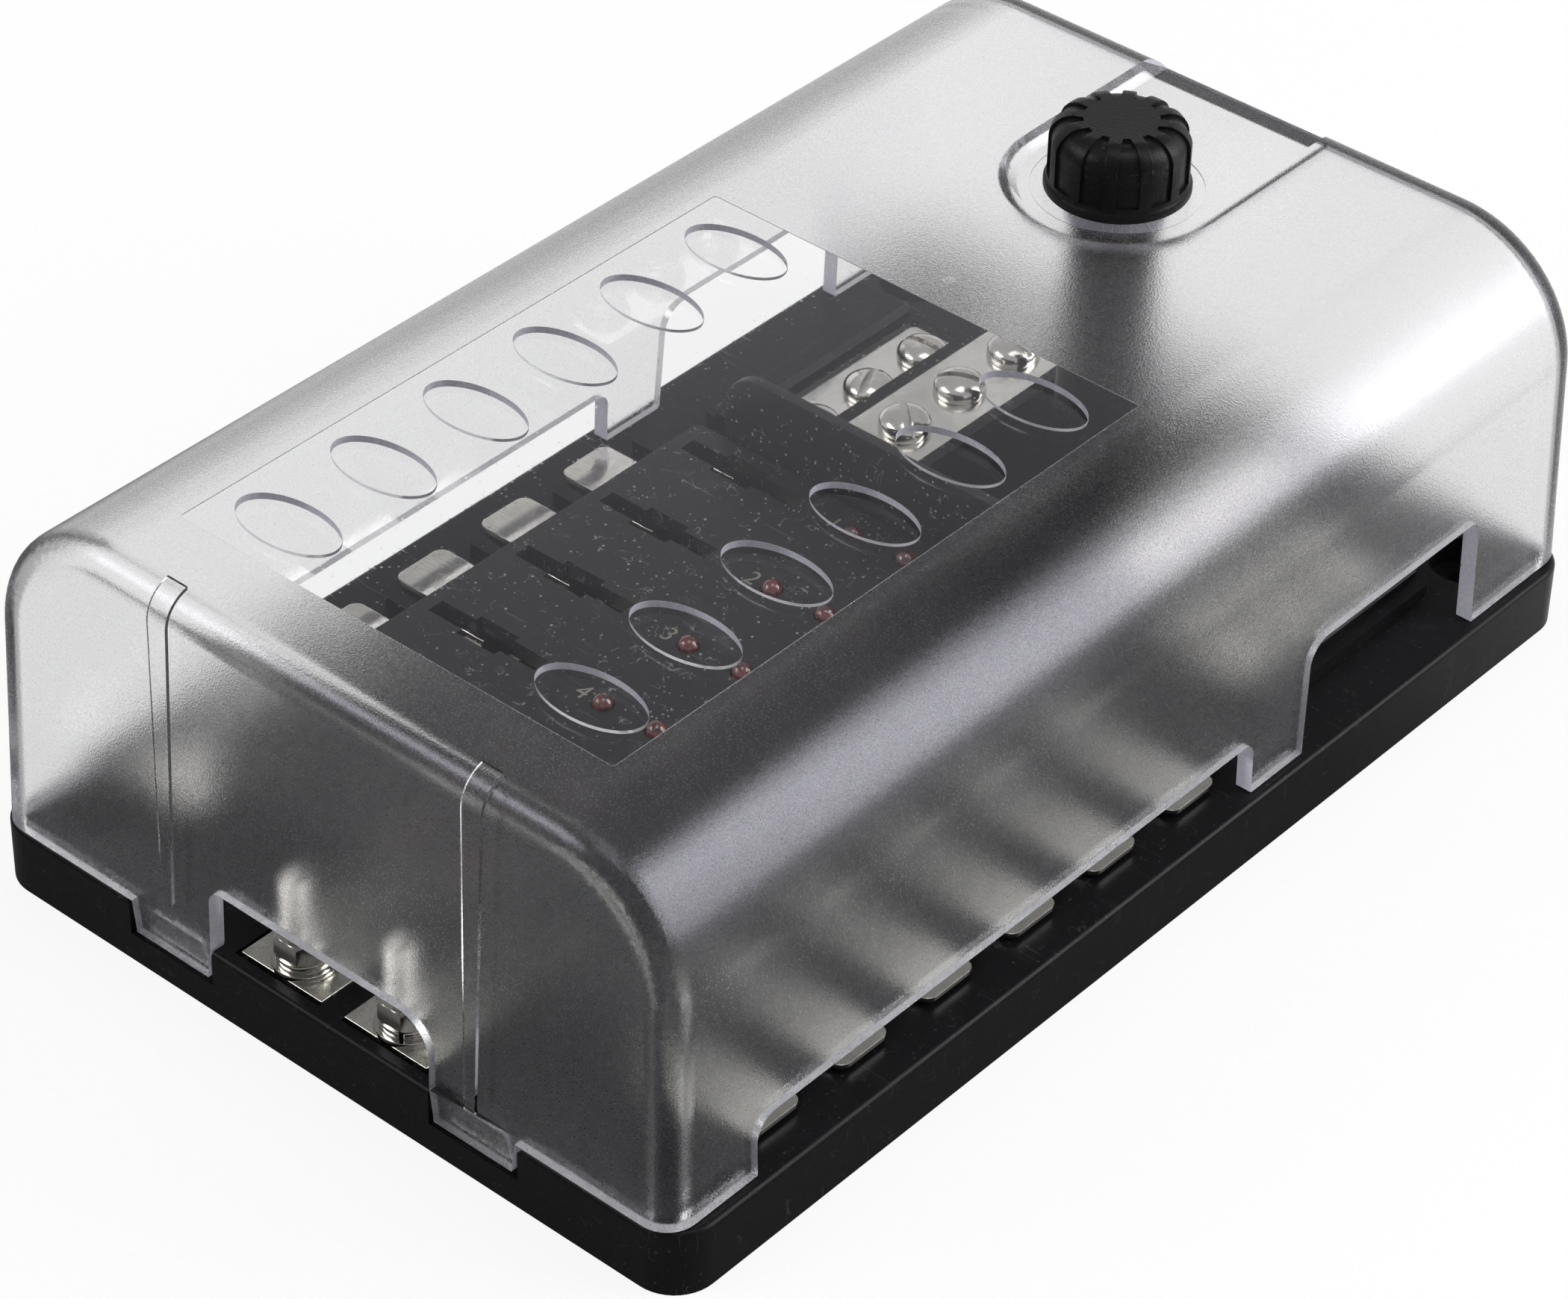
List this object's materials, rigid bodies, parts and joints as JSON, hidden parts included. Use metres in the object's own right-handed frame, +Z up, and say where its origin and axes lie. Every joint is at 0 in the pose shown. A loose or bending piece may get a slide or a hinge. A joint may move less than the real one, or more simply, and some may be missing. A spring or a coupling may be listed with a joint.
{
  "type": "fuse box",
  "caption": "Low-voltage blade fuse box: black base with fuse block, input studs, spade terminals and negative bus under a frosted clear lift-off cover held by a black knob.",
  "frame": {"origin": "bottom centre of the base, on the surface it stands on", "axes": "+Z up; X across the width; Y along the length, from the input studs at -Y to the knob at +Y"},
  "size_m": [0.122, 0.1894, 0.0709],
  "materials": {
    "base_black": "gloss deck, satin sides",
    "block_black": "satin moulded",
    "knob_black": "satin, textured top",
    "cover_clear": "frosted clear with a polished window",
    "tab_plating": "tin plated",
    "feed_plating": "bright nickel plated",
    "bus_plating": "tin plated",
    "fastener_steel": "stainless",
    "brass": "turned",
    "lamp_red": "clear red epoxy",
    "board_green": "solder mask",
    "resistor_dark": "glazed"
  },
  "bodies": {
    "box": {"base": "base_black", "fuse_block": "block_black", "partition": "block_black", "circuit_terminal_1": "tab_plating", "circuit_terminal_2": "tab_plating", "circuit_terminal_3": "tab_plating", "circuit_terminal_4": "tab_plating", "circuit_terminal_5": "tab_plating", "circuit_terminal_6": "tab_plating", "circuit_terminal_7": "tab_plating", "circuit_terminal_8": "tab_plating", "circuit_terminal_9": "tab_plating", "circuit_terminal_10": "tab_plating", "circuit_terminal_11": "tab_plating", "circuit_terminal_12": "tab_plating", "input_bar_left": "feed_plating", "input_bar_right": "feed_plating", "input_stud_left": "fastener_steel", "input_stud_right": "fastener_steel", "bus_clips_left": "tab_plating", "bus_clips_right": "tab_plating", "stud_flat_washers": "fastener_steel", "stud_spring_washers": "fastener_steel", "stud_nuts": "fastener_steel", "negative_bar_left_outer": "bus_plating", "negative_bar_left_inner": "bus_plating", "negative_bar_right_outer": "bus_plating", "negative_bar_right_inner": "bus_plating", "bus_screws": "fastener_steel", "block_screws": "fastener_steel", "lamps": "lamp_red", "lamp_board": "board_green", "lamp_resistors": "resistor_dark", "post_insert": "brass"},
    "lid": {"cover": "cover_clear"},
    "knob": {"knob": "knob_black", "knob_screw": "fastener_steel", "knob_ring": "fastener_steel"}
  },
  "joints": [
    {"name": "cover_lift", "type": "slide", "parent": "box", "child": "lid", "axis": [0, 0, 1], "range_m": [0, 0.05]},
    {"name": "knob_turn", "type": "hinge", "parent": "lid", "child": "knob", "pos_m": [0, 0.063, 0.0603], "axis": [0, 0, 1], "continuous": true}
  ]
}
